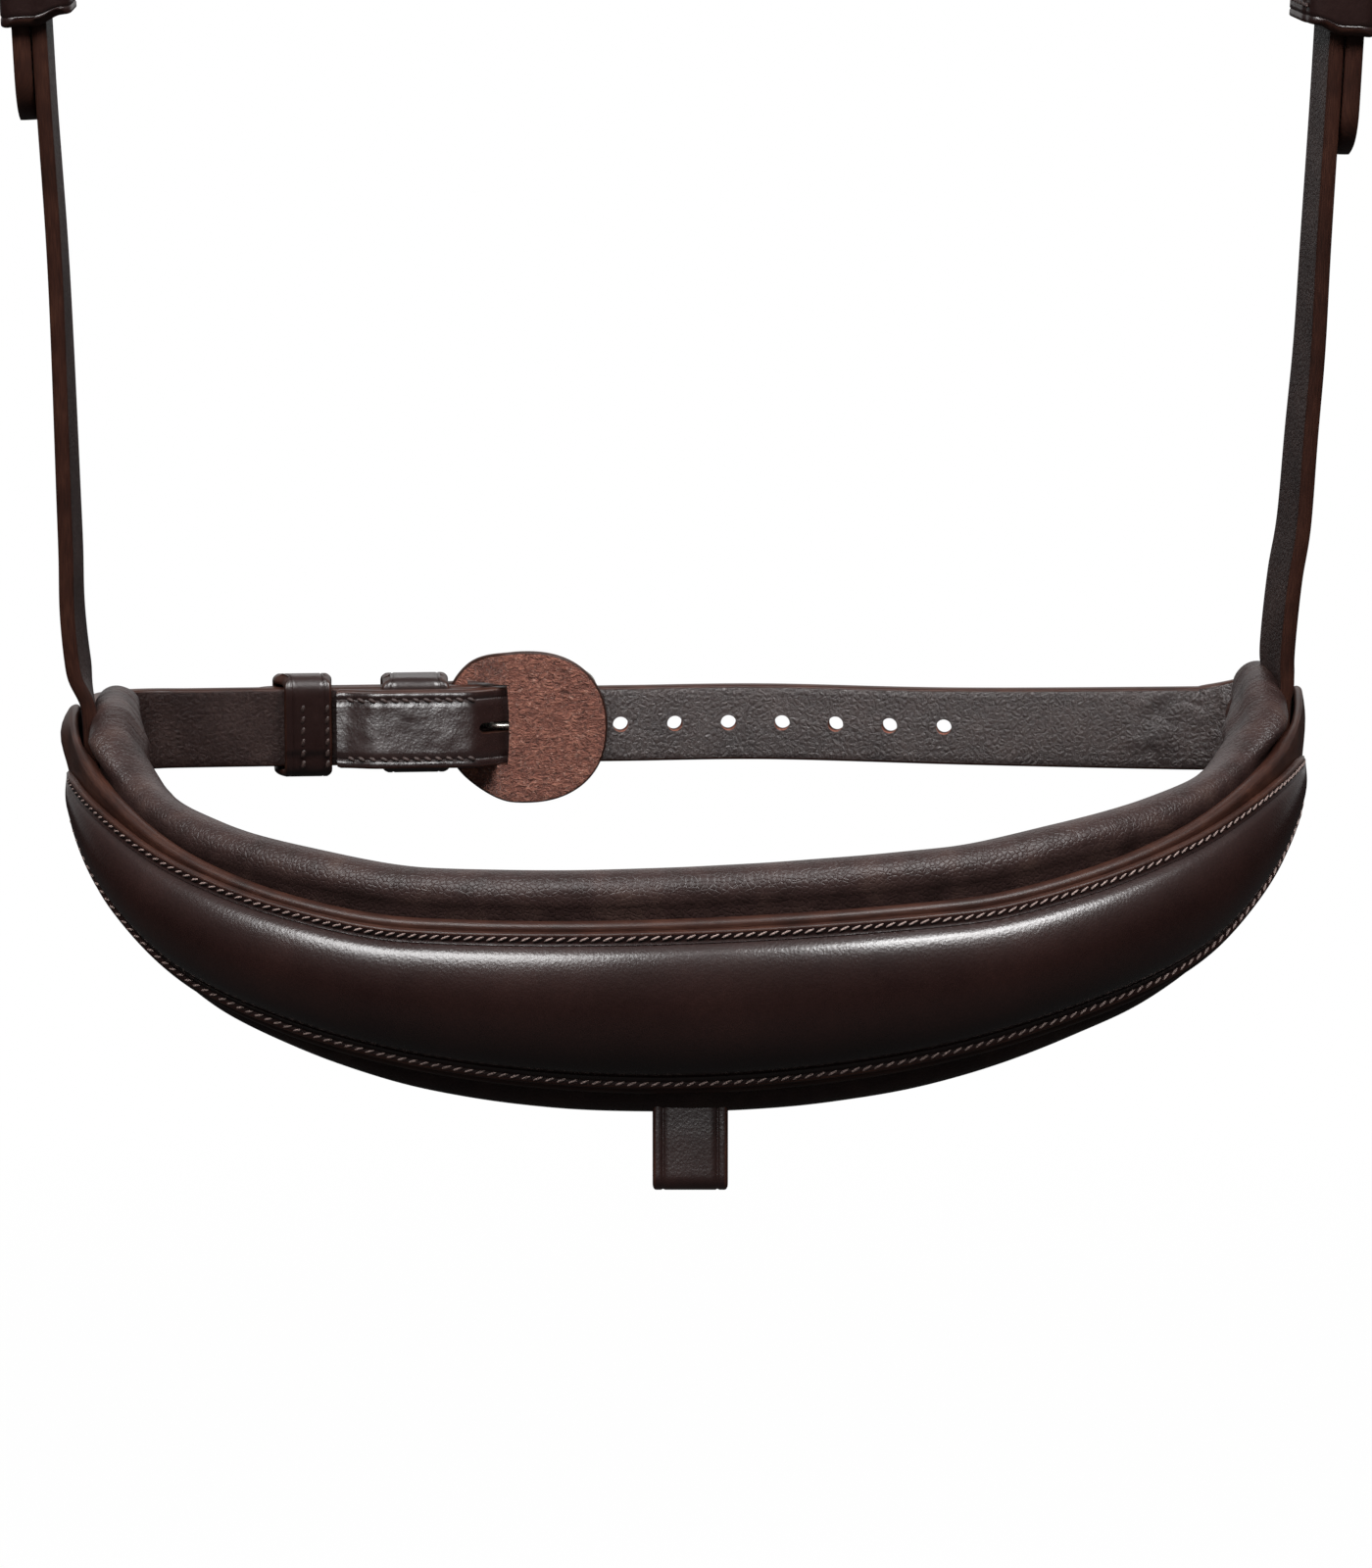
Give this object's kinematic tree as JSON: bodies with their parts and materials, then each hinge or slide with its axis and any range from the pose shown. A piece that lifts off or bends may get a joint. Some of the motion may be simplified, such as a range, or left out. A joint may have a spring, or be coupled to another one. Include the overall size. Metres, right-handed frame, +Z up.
{
  "type": "horse bridle",
  "caption": "Horse bridle with a padded crescent noseband, flash loop, jaw strap with a guarded buckle, and a padded headpiece hung on two buckled straps.",
  "frame": {"origin": "under the middle of the headpiece's pad, where the bridle rests on the poll", "axes": "+Z up when worn, -Y towards the horse's nose and the front of the noseband, +X to the right of someone who faces the front of the noseband"},
  "size_m": [0.2552, 0.1301, 0.4472],
  "materials": {
    "bridle_leather": "dark brown vegetable-tanned leather with a soft wax shine",
    "soft_lining": "soft dark brown grained leather, low shine",
    "suede_guard": "reddish brown suede, matt",
    "pad_foam": "closed-cell foam",
    "felt_filler": "pressed felt",
    "nickel_wire": "polished"
  },
  "bodies": {
    "bridle": {"buckle_guard": "suede_guard", "crown_foam": "pad_foam", "crown_lining": "soft_lining", "crown_strap": "bridle_leather", "hanger_left": "bridle_leather", "hanger_right": "bridle_leather", "jaw_billet_strap": "bridle_leather", "jaw_buckle_strap": "bridle_leather", "jaw_fixed_keeper": "bridle_leather", "noseband_base_strap": "bridle_leather", "noseband_filler": "felt_filler", "noseband_foam": "pad_foam", "noseband_lining": "soft_lining", "noseband_raised_leather": "bridle_leather", "top_left_fixed_keeper": "bridle_leather", "top_right_fixed_keeper": "bridle_leather"},
    "jaw_frame_body": {"jaw_buckle_frame": "nickel_wire"},
    "jaw_tongue_body": {"jaw_buckle_tongue": "nickel_wire"},
    "jaw_runner_body": {"jaw_runner_keeper": "bridle_leather"},
    "flash_body": {"flash_loop": "bridle_leather"},
    "top_left_frame_body": {"top_left_buckle_frame": "nickel_wire"},
    "top_left_tongue_body": {"top_left_buckle_tongue": "nickel_wire"},
    "top_left_runner_body": {"top_left_runner_keeper": "bridle_leather"},
    "top_right_frame_body": {"top_right_buckle_frame": "nickel_wire"},
    "top_right_tongue_body": {"top_right_buckle_tongue": "nickel_wire"},
    "top_right_runner_body": {"top_right_runner_keeper": "bridle_leather"}
  },
  "joints": [
    {"name": "jaw_frame_lift", "type": "hinge", "parent": "bridle", "child": "jaw_frame_body", "pos_m": [-0.0345, 0.0296, -0.372], "axis": [0, 0, 1], "range_deg": [0, 6]},
    {"name": "jaw_tongue_lift", "type": "hinge", "parent": "jaw_frame_body", "child": "jaw_tongue_body", "pos_m": [-0.0345, 0.0296, -0.372], "axis": [0, 0, 1], "range_deg": [0, 8]},
    {"name": "jaw_runner_slide", "type": "slide", "parent": "bridle", "child": "jaw_runner_body", "axis": [0.9976, 0.0698, 0], "range_m": [-0.012, 0]},
    {"name": "flash_swing", "type": "hinge", "parent": "bridle", "child": "flash_body", "pos_m": [0.00077, -0.08195, -0.41749], "axis": [1, 0, 0], "range_deg": [-12, 12]},
    {"name": "top_left_frame_lift", "type": "hinge", "parent": "bridle", "child": "top_left_frame_body", "pos_m": [-0.11935, -0.0078, -0.1925], "axis": [0, -1, 0], "range_deg": [0, 6]},
    {"name": "top_left_tongue_lift", "type": "hinge", "parent": "top_left_frame_body", "child": "top_left_tongue_body", "pos_m": [-0.11935, -0.0078, -0.1925], "axis": [0, -1, 0], "range_deg": [0, 8]},
    {"name": "top_left_runner_slide", "type": "slide", "parent": "bridle", "child": "top_left_runner_body", "axis": [-0.0419, 0, 0.9991], "range_m": [-0.014, 0.0045]},
    {"name": "top_right_frame_lift", "type": "hinge", "parent": "bridle", "child": "top_right_frame_body", "pos_m": [0.11935, -0.0078, -0.1925], "axis": [-0.1389, 0.9903, 0.0058], "range_deg": [0, 6]},
    {"name": "top_right_tongue_lift", "type": "hinge", "parent": "top_right_frame_body", "child": "top_right_tongue_body", "pos_m": [0.11935, -0.0078, -0.1925], "axis": [-0.1389, 0.9903, 0.0058], "range_deg": [0, 8]},
    {"name": "top_right_runner_slide", "type": "slide", "parent": "bridle", "child": "top_right_runner_body", "axis": [0.0419, 0, 0.9991], "range_m": [-0.014, 0.006]}
  ]
}
